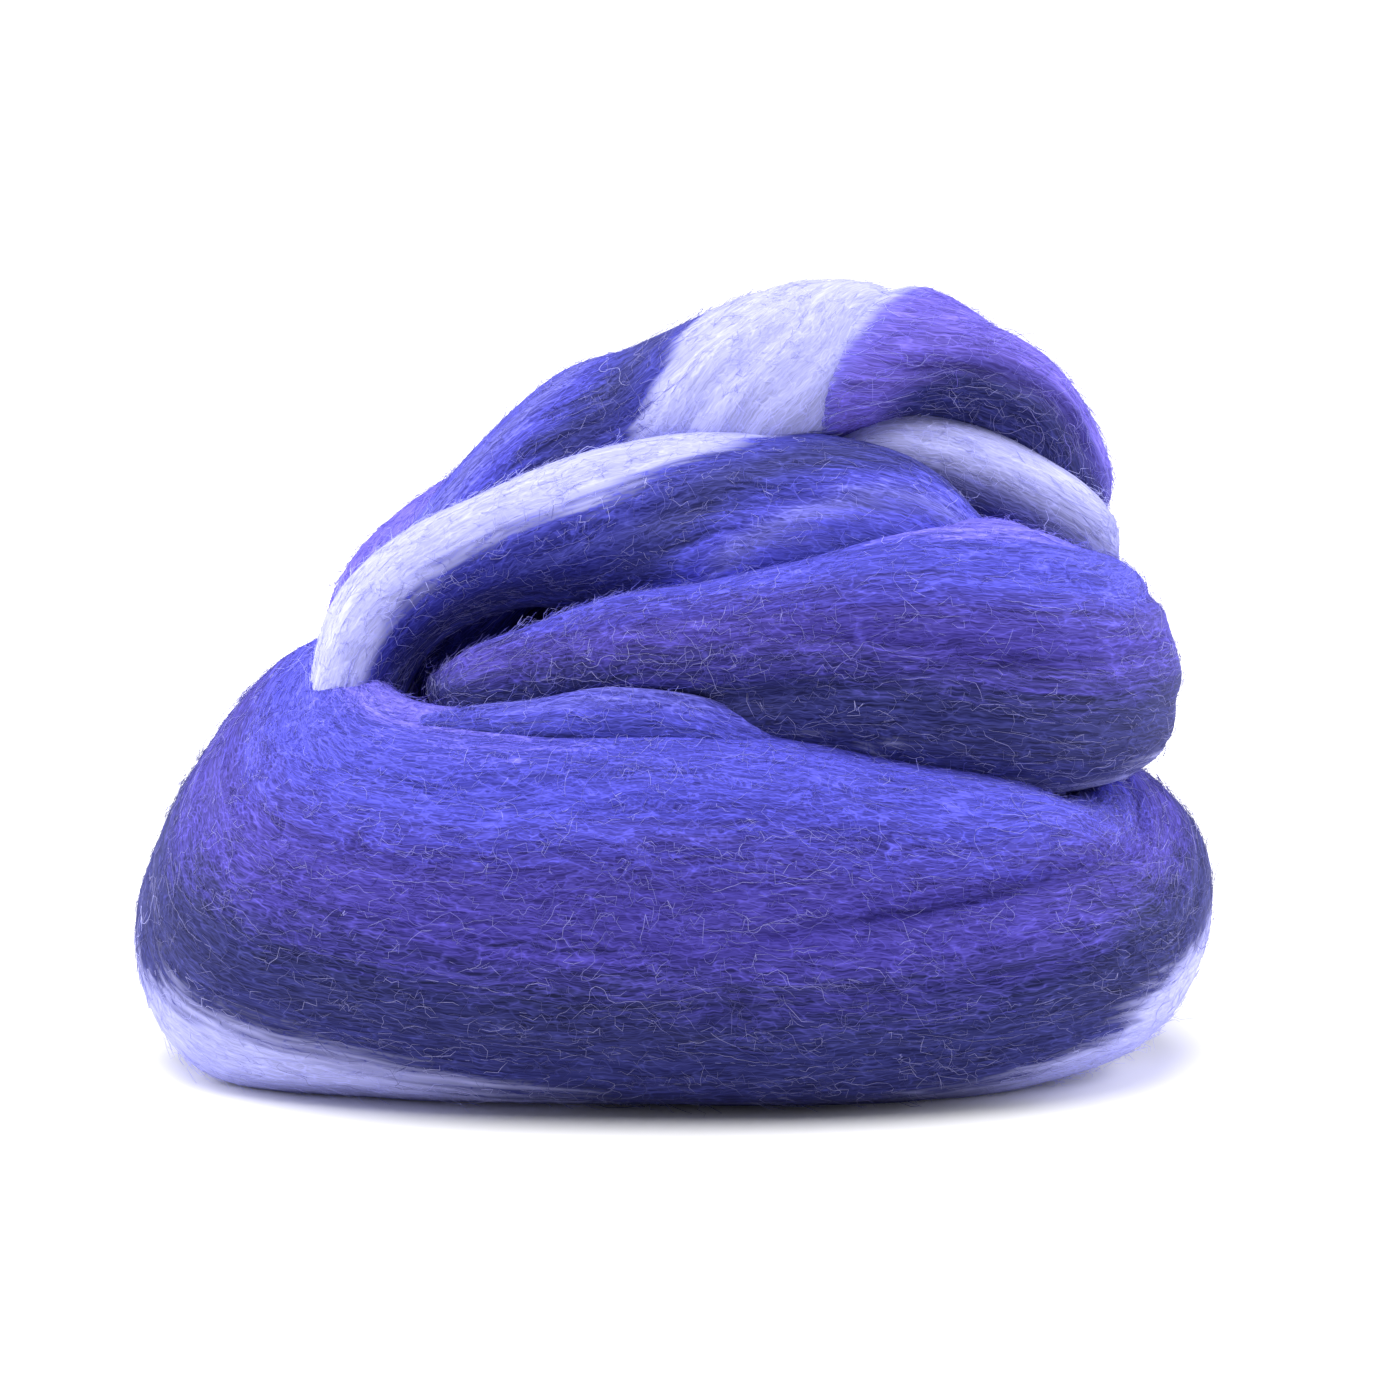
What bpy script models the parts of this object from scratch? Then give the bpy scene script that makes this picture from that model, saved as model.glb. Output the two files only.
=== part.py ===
"""Wool roving: one long strand of combed, striped wool, laid in a loose heap.

The strand is never cut: it goes round the bottom of the heap, climbs at the right, and folds over
itself up to the crown. Each stretch of it that lies as one fold is a turn here, with a table of
sections along it, and the turns are joined into one solid.

The tables are in millimetres, and MM turns them into metres. +X runs along the heap, -Y is its
front and +Z is up. The origin is on the floor, under the middle of the heap.
"""

from collections import namedtuple

import bmesh
import bpy
import numpy as np

MM = 0.001

# The skin's first facets, and the share of them that is kept.
SKIN_FACET = 2.6
SKIN_KEPT = 0.32

# A slab that is wider than the heap, which is 179 long, 126 deep and 127 high.
CUTTER_SIDE = 200
CUTTER_DEPTH = 20

# A turn's section is a rounded oval: 2 would be an ellipse, and more is squarer.
OVAL_POWER = 2.1
SECTION_POINTS = 20
STEPS_PER_ROW = 3

# Wool seen from afar: the blue between the strand's stripes.
WOOL_COLOUR = (0.09, 0.09, 0.50, 1.0)
WOOL_ROUGHNESS = 0.95

# A section spans the strand's width from its upper edge to its lower edge. thick is its size across.
Section = namedtuple("Section", "upper_x upper_y upper_z lower_x lower_y lower_z thick")

TURNS = {
    # The broad lowest turn: down over the left shoulder, along the front, up to the right pinch.
    "front_turn": (
        # upper x, y, z    lower x, y, z   thick
        (-40,  24,  54,   -60,  30,  36,   26),
        (-49,   6,  67,   -73,   8,  40,   23),
        (-50, -14,  66,   -88,  -6,  19,   23),
        (-42, -28,  63,   -78, -26,   1,   38),
        (-24, -35,  63,   -48, -36,  -1,   48),
        (  0, -36,  63,     0, -38,  -2,   53),
        ( 22, -35,  60,    32, -37,  -2,   50),
        ( 42, -32,  55,    60, -30,   1,   44),
        ( 56, -25,  48,    76, -17,   5,   37),
        ( 62, -15,  43,    86,  -3,  20,   26),
        ( 61,  -3,  43,    82,  11,  29,   23),
        ( 55,  12,  44,    70,  25,  37,   20),
        ( 44,  22,  44,    54,  32,  40,   16),
    ),
    # Its return along the back, from the pinch to under the left shoulder.
    "back_turn": (
        ( 58,   2,  34,    76,   0,  20,   24),
        ( 57,  14,  42,    78,  13,  12,   34),
        ( 46,  24,  50,    66,  26,   0,   42),
        ( 26,  31,  54,    38,  36,  -2,   49),
        (  0,  34,  56,     0,  38,  -2,   53),
        (-28,  31,  57,   -40,  35,  -2,   48),
        (-46,  20,  58,   -72,  22,   3,   40),
        (-52,   8,  61,   -82,   6,  23,   30),
        (-48,  -8,  56,   -74,  -8,  34,   22),
    ),
    # A turn under these two, which fills out the bottom of the heap.
    "under_turn": (
        (-30,  10,  48,   -30,  16,   4,   22),
        (-52,  14,  50,   -56,  16,  -4,   34),
        (-67,   0,  48,   -71,   0,  -4,   34),
        (-52, -14,  50,   -56, -16,  -4,   34),
        (  0, -14,  50,     0, -16,  -4,   36),
        ( 50, -12,  42,    52, -13,  -4,   34),
        ( 62,   0,  40,    65,   0,  -4,   34),
        ( 50,  13,  42,    52,  15,  -4,   34),
        ( 30,  10,  46,    30,  16,   4,   22),
    ),
    # From a point in the hollow at the left, widening to the right and round to the back.
    "right_turn": (
        (-38, -18,  66,   -37, -24,  60,    7),
        (-28, -24,  72,   -29, -34,  58,   16),
        (-12, -22,  78,   -12, -36,  56,   25),
        (  4, -20,  80,     4, -38,  54,   29),
        ( 20, -18,  84,    20, -38,  53,   31),
        ( 36, -16,  89,    38, -36,  50,   34),
        ( 50, -12,  90,    57, -26,  47,   35),
        ( 57,  -2,  84,    73,  -6,  45,   35),
        ( 57,  12,  82,    73,  14,  45,   34),
        ( 51,  26,  82,    58,  30,  45,   34),
        ( 32,  35,  78,    36,  41,  46,   34),
        (  8,  39,  76,     8,  44,  46,   32),
        (-18,  35,  73,   -20,  41,  46,   28),
        (-40,  24,  66,   -42,  28,  50,   20),
    ),
    # The arch: steeply up from behind the front turn, over to the right and down again.
    "arched_turn": (
        (-57, -12,  44,   -44, -20,  42,   19),
        (-60, -12,  60,   -43, -20,  57,   20),
        (-57,  -9,  76,   -38, -15,  65,   20),
        (-46,  -5,  87,   -28, -13,  70,   22),
        (-32,  -2,  93,   -18, -16,  72,   24),
        (-13,   2,  98,    -4, -21,  74,   27),
        ( 10,   4, 100,    12, -25,  76,   28),
        ( 33,   0,  97,    30, -25,  77,   28),
        ( 45,  -4,  89,    41, -21,  75,   24),
        ( 52,  -8,  82,    49, -17,  73,   20),
        ( 55,  -6,  74,    52, -13,  68,   14),
    ),
    # Up to the crown from the left, over the top and down behind.
    "crown_turn": (
        (-48,  16,  70,   -38,   0,  62,   18),
        (-43,  14,  86,   -24,  -2,  76,   22),
        (-30,  15, 102,    -9,   0,  84,   27),
        (-17,  17, 112,     8,   0,  90,   27),
        (  0,  22, 114,    18,  -9, 102,   26),
        ( 11,  26, 117,    27,  -8, 112,   23),
        ( 18,  34, 116,    36,   2, 122,   15),
        ( 20,  38, 102,    41,  20, 113,   14),
        ( 18,  36,  86,    40,  30,  92,   18),
        ( 14,  34,  72,    38,  30,  76,   18),
    ),
    # From the crown to the right, round the back, and down at the left behind the arch.
    "wrapping_turn": (
        ( 18,  20, 114,    10,   6,  96,   14),
        ( 39,  11, 124,    21,  -7, 103,   18),
        ( 45,   8, 124,    30,  -9, 106,   19),
        ( 51,   8, 119,    42,  -7, 108,   19),
        ( 57,  10, 112,    56,  -5, 104,   18),
        ( 63,  12, 103,    62,   1,  94,   18),
        ( 63,  21,  97,    63,  17,  84,   20),
        ( 50,  30, 100,    52,  33,  75,   25),
        ( 28,  34, 102,    30,  43,  69,   30),
        (  0,  34, 103,     0,  45,  67,   31),
        (-26,  28,  97,   -28,  38,  65,   29),
        (-43,  18,  86,   -47,  24,  62,   24),
        (-48,   6,  76,   -53,   6,  58,   19),
        (-50,  -6,  60,   -54,  -8,  46,   14),
    ),
    # The wrapping turn's lower edge, folded off from it at the right.
    "folded_edge": (
        ( 20,   4, 100,    22,  -5,  88,   10),
        ( 36,   2, 107,    34,  -7,  90,   17),
        ( 50,   2, 105,    49,  -7,  86,   18),
        ( 62,   5,  97,    61,  -4,  78,   18),
        ( 66,  14,  91,    65,  10,  73,   18),
        ( 59,  26,  86,    59,  25,  68,   17),
        ( 44,  33,  82,    44,  33,  66,   12),
    ),
    # A thin lock that stands up from the front turn's upper edge.
    "lifted_lock": (
        (-40, -37,  62,   -40, -40,  59,    3),
        (-26, -39,  65,   -26, -45,  59,    5),
        (-12, -40,  67,   -12, -47,  59,    6),
        (  2, -40,  66,     2, -47,  58,    6),
        ( 11, -40,  63,    12, -46,  56,    5),
        ( 19, -39,  59,    20, -43,  55,    3),
    ),
    # A turn inside the crown, seen only between the crown turn and the wrapping turn.
    "inside_turn": (
        (-42,  10,  76,   -42,  16,  62,   18),
        (-28,  12,  92,   -27,  20,  68,   27),
        ( -6,  14, 104,    -6,  22,  70,   34),
        ( 18,  14, 108,    18,  22,  72,   36),
        ( 40,  12, 106,    41,  20,  72,   32),
        ( 52,  10,  98,    54,  14,  72,   24),
        ( 56,   6,  86,    57,   8,  70,   16),
    ),
}

# The strand's hidden folds, which fill the middle of the heap. They never show.
CORE = (
    (-66,   0,  44,   -66,   0,   4,   24),
    (-50,   0,  58,   -52,   0, -12,   64),
    (-20,   0,  72,   -20,   0, -14,   80),
    ( 20,   0,  72,    20,   0, -14,   80),
    ( 50,   0,  56,    52,   0, -12,   64),
    ( 66,   0,  40,    66,   0,   4,   24),
)


def clear_scene():
    """Removes every object that the file opened with."""
    for thing in list(bpy.data.objects):
        bpy.data.objects.remove(thing, do_unlink=True)


def smooth_rows(rows):
    """The table with STEPS_PER_ROW - 1 more rows between each two, on a Catmull-Rom curve."""
    known = np.array(rows, float)
    before = 2 * known[0] - known[1]
    after = 2 * known[-1] - known[-2]
    known = np.vstack([before, known, after])
    steps = np.arange(STEPS_PER_ROW) / STEPS_PER_ROW
    out = []
    for a, b, c, d in zip(known, known[1:], known[2:], known[3:]):
        for t in steps:
            slope = (c - a) * t
            bend = (2 * a - 5 * b + 4 * c - d) * t**2
            twist = (3 * b - a - 3 * c + d) * t**3
            out.append((2 * b + slope + bend + twist) / 2)
    out.append(known[-2])
    return [Section(*row) for row in out]


def unit(vectors):
    """The same directions with a length of 1."""
    return vectors / np.linalg.norm(vectors, axis=-1, keepdims=True)


def signed_power(values, power):
    """A power that keeps each value's sign, which turns a circle into a rounded oval."""
    return np.sign(values) * np.abs(values) ** power


def section_rings(rows):
    """One ring of points for each smoothed row, in metres, and the middle of each ring."""
    sections = np.array(smooth_rows(rows)) * MM
    upper = sections[:, 0:3]
    lower = sections[:, 3:6]
    thick = sections[:, 6:7]
    middle = (upper + lower) / 2
    half_width = (upper - lower) / 2
    along = unit(np.gradient(middle, axis=0))
    half_thick = unit(np.cross(along, half_width)) * thick / 2
    angle = np.linspace(0, 2 * np.pi, SECTION_POINTS, endpoint=False)
    towards_upper = signed_power(np.cos(angle), 2 / OVAL_POWER)
    towards_face = signed_power(np.sin(angle), 2 / OVAL_POWER)
    rings = (
        middle[:, None]
        + half_width[:, None] * towards_upper[None, :, None]
        + half_thick[:, None] * towards_face[None, :, None]
    )
    return rings, middle


def add_turn(bm, rows):
    """Adds a closed tube through the rings of one table, with a fan of triangles over each end."""
    rings, middle = section_rings(rows)
    made = [[bm.verts.new(point) for point in ring] for ring in rings]
    for ring, following in zip(made, made[1:]):
        for i in range(SECTION_POINTS):
            k = (i + 1) % SECTION_POINTS
            bm.faces.new((ring[i], ring[k], following[k], following[i]))
    for ring, centre in ((made[0], middle[0]), (made[-1], middle[-1])):
        tip = bm.verts.new(centre)
        for i in range(SECTION_POINTS):
            bm.faces.new((tip, ring[i], ring[(i + 1) % SECTION_POINTS]))


def make_turns(name):
    """One object that holds every turn as a closed tube, pressed into its neighbours."""
    bm = bmesh.new()
    for rows in (CORE, *TURNS.values()):
        add_turn(bm, rows)
    bmesh.ops.recalc_face_normals(bm, faces=bm.faces)
    mesh = bpy.data.meshes.new(name)
    bm.to_mesh(mesh)
    bm.free()
    thing = bpy.data.objects.new(name, mesh)
    bpy.context.scene.collection.objects.link(thing)
    return thing


def make_floor_cutter():
    """A slab under the heap, wider than it, whose top is the plane that the wool lies flat on."""
    bpy.ops.mesh.primitive_cube_add(size=1, location=(0, 0, -CUTTER_DEPTH * MM / 2))
    slab = bpy.context.object
    slab.name = "floor_cutter"
    slab.dimensions = (CUTTER_SIDE * MM, CUTTER_SIDE * MM, CUTTER_DEPTH * MM)
    bpy.ops.object.transform_apply(location=True, rotation=True, scale=True)
    slab.hide_render = True
    slab.display_type = "WIRE"
    return slab


def grow_together(heap):
    """Closes the turns into one skin, because the wool of neighbouring turns clings together."""
    skin = heap.modifiers.new("one_skin", "REMESH")
    skin.mode = "VOXEL"
    skin.voxel_size = SKIN_FACET * MM
    skin.use_smooth_shade = True
    fewer = heap.modifiers.new("fewer_facets", "DECIMATE")
    fewer.ratio = SKIN_KEPT


def lay_flat(heap):
    """Cuts the heap level where its weight presses it on the floor."""
    cut = heap.modifiers.new("flat_spot", "BOOLEAN")
    cut.operation = "DIFFERENCE"
    cut.solver = "EXACT"
    cut.object = make_floor_cutter()


def wool_material():
    """Matt wool, in the colour that the stripes give from afar."""
    material = bpy.data.materials.new("combed_wool")
    material.use_nodes = True
    shader = material.node_tree.nodes["Principled BSDF"]
    shader.inputs["Base Color"].default_value = WOOL_COLOUR
    shader.inputs["Roughness"].default_value = WOOL_ROUGHNESS
    shader.inputs["Metallic"].default_value = 0.0
    return material


def make_heap():
    """The whole heap: its turns, closed into one skin and cut flat where it lies on the floor."""
    heap = make_turns("wool_roving")
    grow_together(heap)
    lay_flat(heap)
    heap.data.materials.append(wool_material())
    return heap


clear_scene()
make_heap()
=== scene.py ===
# %% [markdown]
# # A heap of striped combed wool
#
# The object is a roving: a thick, soft, untwisted strand of wool that was combed until every fibre
# lies along it. It is dyed in stripes that run along the strand, and it lies in a loose heap. The
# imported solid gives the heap's size and place. This lesson dresses it: first the folds of the strand,
# then the dye and the fine fibres in its surface, then loose fibres, and last the light and camera.

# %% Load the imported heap
import math
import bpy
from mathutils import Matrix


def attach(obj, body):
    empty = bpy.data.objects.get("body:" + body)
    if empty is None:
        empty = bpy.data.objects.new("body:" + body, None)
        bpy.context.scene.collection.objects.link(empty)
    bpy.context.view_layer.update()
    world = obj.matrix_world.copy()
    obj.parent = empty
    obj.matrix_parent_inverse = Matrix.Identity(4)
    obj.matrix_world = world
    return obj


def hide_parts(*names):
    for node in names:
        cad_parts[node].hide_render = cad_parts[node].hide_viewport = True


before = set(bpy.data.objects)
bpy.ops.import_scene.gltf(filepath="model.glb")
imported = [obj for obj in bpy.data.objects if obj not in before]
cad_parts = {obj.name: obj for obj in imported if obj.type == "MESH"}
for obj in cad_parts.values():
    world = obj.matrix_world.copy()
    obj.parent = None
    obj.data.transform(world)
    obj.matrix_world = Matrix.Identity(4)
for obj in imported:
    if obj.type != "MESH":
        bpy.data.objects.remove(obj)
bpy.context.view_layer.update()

from types import SimpleNamespace

import bpy
import numpy as np
from mathutils import Vector
from mathutils.bvhtree import BVHTree

MM = 0.001

# %% [markdown]
# ## The folds of the strand
#
# The strand lies flat like a thick ribbon, so each fold of it, called a turn here, is a table: a row
# for each section, with the ribbon's upper edge, its lower edge and its thickness. A smooth curve
# through the rows gives every section between them. The last two columns place the dyed stripes, which
# the next step explains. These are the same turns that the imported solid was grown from, so the wool
# fills that solid. A sculpted blob would have the outline too, but not the direction in which the
# fibres run, and combed wool is all about that direction.

# %% The turns' tables, in millimetres
TURNS = {
    "front_turn": (
        # upper x, y, z    lower x, y, z   thick  dye at lower and upper edge
        (-40,  24,  54,   -60,  30,  36,   26,   -0.05, 1.00),
        (-49,   6,  67,   -73,   8,  40,   23,    0.02, 1.00),
        (-50, -14,  66,   -88,  -6,  19,   23,    0.08, 1.00),
        (-42, -28,  63,   -78, -26,   1,   38,   -0.07, 1.00),
        (-24, -35,  63,   -48, -36,  -1,   48,   -0.02, 1.00),
        (  0, -36,  63,     0, -38,  -2,   53,    0.11, 0.89),
        ( 22, -35,  60,    32, -37,  -2,   50,    0.11, 0.89),
        ( 42, -32,  55,    60, -30,   1,   44,    0.01, 0.93),
        ( 56, -25,  48,    76, -17,   5,   37,   -0.18, 0.84),
        ( 62, -15,  43,    86,  -3,  20,   26,    0.04, 0.85),
        ( 61,  -3,  43,    82,  11,  29,   23,    0.12, 0.85),
        ( 55,  12,  44,    70,  25,  37,   20,   -0.10, 0.80),
        ( 44,  22,  44,    54,  32,  40,   16,   -0.10, 0.80),
    ),
    "back_turn": (
        ( 58,   2,  34,    76,   0,  20,   24,   -0.10, 0.90),
        ( 57,  14,  42,    78,  13,  12,   34,   -0.08, 0.95),
        ( 46,  24,  50,    66,  26,   0,   42,   -0.04, 1.00),
        ( 26,  31,  54,    38,  36,  -2,   49,    0.04, 1.00),
        (  0,  34,  56,     0,  38,  -2,   53,    0.08, 1.00),
        (-28,  31,  57,   -40,  35,  -2,   48,    0.04, 1.00),
        (-46,  20,  58,   -72,  22,   3,   40,   -0.05, 1.00),
        (-52,   8,  61,   -82,   6,  23,   30,   -0.06, 1.00),
        (-48,  -8,  56,   -74,  -8,  34,   22,   -0.06, 1.00),
    ),
    "under_turn": (
        (-30,  10,  48,   -30,  16,   4,   22,    0.10, 0.60),
        (-52,  14,  50,   -56,  16,  -4,   34,    0.10, 0.60),
        (-67,   0,  48,   -71,   0,  -4,   34,    0.10, 0.60),
        (-52, -14,  50,   -56, -16,  -4,   34,    0.10, 0.60),
        (  0, -14,  50,     0, -16,  -4,   36,    0.10, 0.60),
        ( 50, -12,  42,    52, -13,  -4,   34,    0.10, 0.60),
        ( 62,   0,  40,    65,   0,  -4,   34,    0.10, 0.60),
        ( 50,  13,  42,    52,  15,  -4,   34,    0.10, 0.60),
        ( 30,  10,  46,    30,  16,   4,   22,    0.10, 0.60),
    ),
    "right_turn": (
        (-38, -18,  66,   -37, -24,  60,    7,    0.14, 0.50),
        (-28, -24,  72,   -29, -34,  58,   16,    0.12, 0.80),
        (-12, -22,  78,   -12, -36,  56,   25,    0.10, 0.90),
        (  4, -20,  80,     4, -38,  54,   29,    0.10, 0.92),
        ( 20, -18,  84,    20, -38,  53,   31,    0.08, 0.96),
        ( 36, -16,  89,    38, -36,  50,   34,    0.09, 1.04),
        ( 50, -12,  90,    57, -26,  47,   35,    0.12, 1.05),
        ( 57,  -2,  84,    73,  -6,  45,   35,    0.08, 1.00),
        ( 57,  12,  82,    73,  14,  45,   34,    0.08, 1.00),
        ( 51,  26,  82,    58,  30,  45,   34,    0.10, 1.00),
        ( 32,  35,  78,    36,  41,  46,   34,    0.12, 1.00),
        (  8,  39,  76,     8,  44,  46,   32,    0.12, 1.00),
        (-18,  35,  73,   -20,  41,  46,   28,    0.14, 1.00),
        (-40,  24,  66,   -42,  28,  50,   20,    0.16, 1.00),
    ),
    "arched_turn": (
        (-57, -12,  44,   -44, -20,  42,   19,    0.40, -0.50),
        (-60, -12,  60,   -43, -20,  57,   20,    0.40, -0.46),
        (-57,  -9,  76,   -38, -15,  65,   20,    0.42, -0.24),
        (-46,  -5,  87,   -28, -13,  70,   22,    0.42, -0.18),
        (-32,  -2,  93,   -18, -16,  72,   24,    0.43, -0.14),
        (-13,   2,  98,    -4, -21,  74,   27,    0.48, -0.24),
        ( 10,   4, 100,    12, -25,  76,   28,    0.98, -0.28),
        ( 33,   0,  97,    30, -25,  77,   28,    1.15,  0.20),
        ( 45,  -4,  89,    41, -21,  75,   24,    1.15,  0.34),
        ( 52,  -8,  82,    49, -17,  73,   20,    1.10,  0.40),
        ( 55,  -6,  74,    52, -13,  68,   14,    1.00,  0.40),
    ),
    "crown_turn": (
        (-48,  16,  70,   -38,   0,  62,   18,    0.14,  0.66),
        (-43,  14,  86,   -24,  -2,  76,   22,    0.16,  0.96),
        (-30,  15, 102,    -9,   0,  84,   27,   -0.18,  0.98),
        (-17,  17, 112,     8,   0,  90,   27,   -0.50,  0.86),
        (  0,  22, 114,    18,  -9, 102,   26,   -0.70,  0.52),
        ( 11,  26, 117,    27,  -8, 112,   23,   -1.00,  0.06),
        ( 18,  34, 116,    36,   2, 122,   15,   -1.00,  0.00),
        ( 20,  38, 102,    41,  20, 113,   14,   -1.00,  0.00),
        ( 18,  36,  86,    40,  30,  92,   18,   -0.60,  0.40),
        ( 14,  34,  72,    38,  30,  76,   18,   -0.30,  0.60),
    ),
    "wrapping_turn": (
        ( 18,  20, 114,    10,   6,  96,   14,   -0.20, -0.20),
        ( 39,  11, 124,    21,  -7, 103,   18,   -0.06, -0.06),
        ( 45,   8, 124,    30,  -9, 106,   19,    0.50,  0.28),
        ( 51,   8, 119,    42,  -7, 108,   19,    0.78,  0.20),
        ( 57,  10, 112,    56,  -5, 104,   18,    0.79,  0.20),
        ( 63,  12, 103,    62,   1,  94,   18,    0.80,  0.22),
        ( 63,  21,  97,    63,  17,  84,   20,    0.84,  0.22),
        ( 50,  30, 100,    52,  33,  75,   25,    0.88,  0.22),
        ( 28,  34, 102,    30,  43,  69,   30,    0.92,  0.22),
        (  0,  34, 103,     0,  45,  67,   31,    0.92,  0.20),
        (-26,  28,  97,   -28,  38,  65,   29,    0.86,  0.20),
        (-43,  18,  86,   -47,  24,  62,   24,    0.72,  0.20),
        (-48,   6,  76,   -53,   6,  58,   19,    0.60,  0.20),
        (-50,  -6,  60,   -54,  -8,  46,   14,    0.60,  0.20),
    ),
    "folded_edge": (
        ( 20,   4, 100,    22,  -5,  88,   10,    0.74, -0.36),
        ( 36,   2, 107,    34,  -7,  90,   17,    0.84, -0.56),
        ( 50,   2, 105,    49,  -7,  86,   18,    0.84, -0.52),
        ( 62,   5,  97,    61,  -4,  78,   18,    0.56, -0.04),
        ( 66,  14,  91,    65,  10,  73,   18,    0.38,  0.08),
        ( 59,  26,  86,    59,  25,  68,   17,    0.40, -0.05),
        ( 44,  33,  82,    44,  33,  66,   12,    0.50, -0.05),
    ),
    "lifted_lock": (
        (-40, -37,  62,   -40, -40,  59,    3,    0.52,  0.70),
        (-26, -39,  65,   -26, -45,  59,    5,    0.48,  0.74),
        (-12, -40,  67,   -12, -47,  59,    6,    0.48,  0.76),
        (  2, -40,  66,     2, -47,  58,    6,    0.48,  0.77),
        ( 11, -40,  63,    12, -46,  56,    5,    0.48,  0.77),
        ( 19, -39,  59,    20, -43,  55,    3,    0.50,  0.74),
    ),
    "inside_turn": (
        (-42,  10,  76,   -42,  16,  62,   18,    0.20,  0.60),
        (-28,  12,  92,   -27,  20,  68,   27,    0.20,  0.60),
        ( -6,  14, 104,    -6,  22,  70,   34,    0.20,  0.60),
        ( 18,  14, 108,    18,  22,  72,   36,    0.20,  0.60),
        ( 40,  12, 106,    41,  20,  72,   32,    0.20,  0.60),
        ( 52,  10,  98,    54,  14,  72,   24,    0.20,  0.60),
        ( 56,   6,  86,    57,   8,  70,   16,    0.20,  0.60),
    ),
}

# %% [markdown]
# ## The dyed stripes
#
# The dyes lie side by side all along the strand. One face of the ribbon goes from pale through navy
# and violet to periwinkle, and its other face has a plain royal blue in place of the two dark dyes.
# Some stops on the charts paint light and shade instead of a dye: a darker royal paints the shade in
# the hollow under the arch, a lilac at the top of the first chart and a lighter violet where the strand
# wraps the crown paint the highlight on tops that face the light, and where its edge is folded off
# there, a grey between the pale and the navy paints the shade below the fold. So there are four
# charts, each from 0 to 1. The last two columns of a table say which places on its chart lie at the
# ribbon's lower and upper edges, because the strand rolls over as it is laid.

# %% Dyes and charts
PALE = (0.49, 0.50, 0.95)
PERIWINKLE = (0.067, 0.066, 0.57)
ROYAL = (0.036, 0.039, 0.36)
VIOLET = (0.052, 0.035, 0.35)
NAVY = (0.0085, 0.0108, 0.130)
# A darker royal, not a dye: it paints the shade in the hollow under the arch.
HOLLOW_SHADE = (0.024, 0.027, 0.21)
LAVENDER = (0.135, 0.135, 0.58)
# Periwinkle and violet painted lighter: painted highlight on tops that face the light.
LILAC_HIGHLIGHT = (0.165, 0.138, 0.74)
VIOLET_HIGHLIGHT = (0.150, 0.110, 0.64)
# A grey-blue that paints the shade on the lower part of the folded edge, between its pale and navy dyes.
FOLD_SHADE_GREY = (0.115, 0.118, 0.34)

CHARTS = {
    # This chart's last stop, the lilac, paints the highlight on the turns' upper edges.
    "dark_face": (
        (0.00, PALE), (0.06, PALE), (0.15, NAVY), (0.33, NAVY),
        (0.50, VIOLET), (0.62, VIOLET), (0.80, PERIWINKLE), (0.92, PERIWINKLE), (1.00, LILAC_HIGHLIGHT),
    ),
    # On this chart the darker royal paints the shade in the hollow under the arch.
    "clear_face": (
        (0.00, PALE), (0.06, PALE), (0.14, ROYAL), (0.20, ROYAL), (0.32, HOLLOW_SHADE), (0.42, HOLLOW_SHADE),
        (0.54, ROYAL), (0.66, PERIWINKLE), (0.77, LAVENDER), (0.88, PERIWINKLE), (1.00, ROYAL),
    ),
    # On this chart the lilac and the lighter violet paint the highlight on the wrapping turn's top; the
    # pale and the navy are dyes.
    "bright_face": (
        (0.00, PALE), (0.06, PALE), (0.17, LILAC_HIGHLIGHT), (0.32, VIOLET_HIGHLIGHT), (0.56, VIOLET_HIGHLIGHT), (0.74, NAVY),
        (0.90, NAVY), (1.00, PALE),
    ),
    # On this chart the grey paints the shade below the fold.
    "mingled_face": ((0.00, PALE), (0.08, PALE), (0.42, FOLD_SHADE_GREY), (0.78, NAVY)),
}
SHOWN_FACES = {
    "arched_turn": "clear_face",
    "crown_turn": "clear_face",
    "lifted_lock": "clear_face",
    "wrapping_turn": "bright_face",
    "folded_edge": "mingled_face",
}
print("stops of each chart:", {face: len(chart) for face, chart in CHARTS.items()})

# %% [markdown]
# ## From a table to a surface
#
# Each turn becomes a grid of points: sections along the strand, points around it. A grid keeps what a
# sculpt loses, because a fibre that runs along the strand is simply one line of the grid.

# %% Read even sections from a table
CURVE_STEPS = 24
SECTION_SPACING = 2.2
TINY = 1e-12

# Where each thing is in a row of a table.
UPPER = slice(0, 3)
LOWER = slice(3, 6)
THICK = slice(6, 7)
DYES = slice(7, 9)


def unit(vectors):
    """The same directions with a length of 1."""
    return vectors / np.maximum(np.linalg.norm(vectors, axis=-1, keepdims=True), TINY)


def even_sections(rows):
    """Even sections on a Catmull-Rom curve, how far along each one is, and its row number."""
    known = np.array(rows, float)
    before = 2 * known[0] - known[1]
    after = 2 * known[-1] - known[-2]
    known = np.vstack([before, known, after])
    t = np.arange(CURVE_STEPS)[:, None] / CURVE_STEPS
    dense = []
    for a, b, c, d in zip(known, known[1:], known[2:], known[3:]):
        bend = (2 * a - 5 * b + 4 * c - d) * t**2
        twist = (3 * b - a - 3 * c + d) * t**3
        dense.append((2 * b + (c - a) * t + bend + twist) / 2)
    dense = np.vstack([*dense, known[-2:-1]])
    middle = (dense[:, UPPER] + dense[:, LOWER]) / 2
    steps = np.linalg.norm(np.diff(middle, axis=0), axis=1)
    run = np.concatenate([[0], np.cumsum(steps)])
    even = np.linspace(0, run[-1], int(run[-1] / SECTION_SPACING) + 1)
    sections = np.stack([np.interp(even, run, column) for column in dense.T], 1)
    return sections, even, np.interp(even, run, np.arange(len(dense)) / CURVE_STEPS)


sections, run, _ = even_sections(TURNS["front_turn"])
print("front turn:", len(sections), "sections over", round(run[-1]), "mm")
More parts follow.
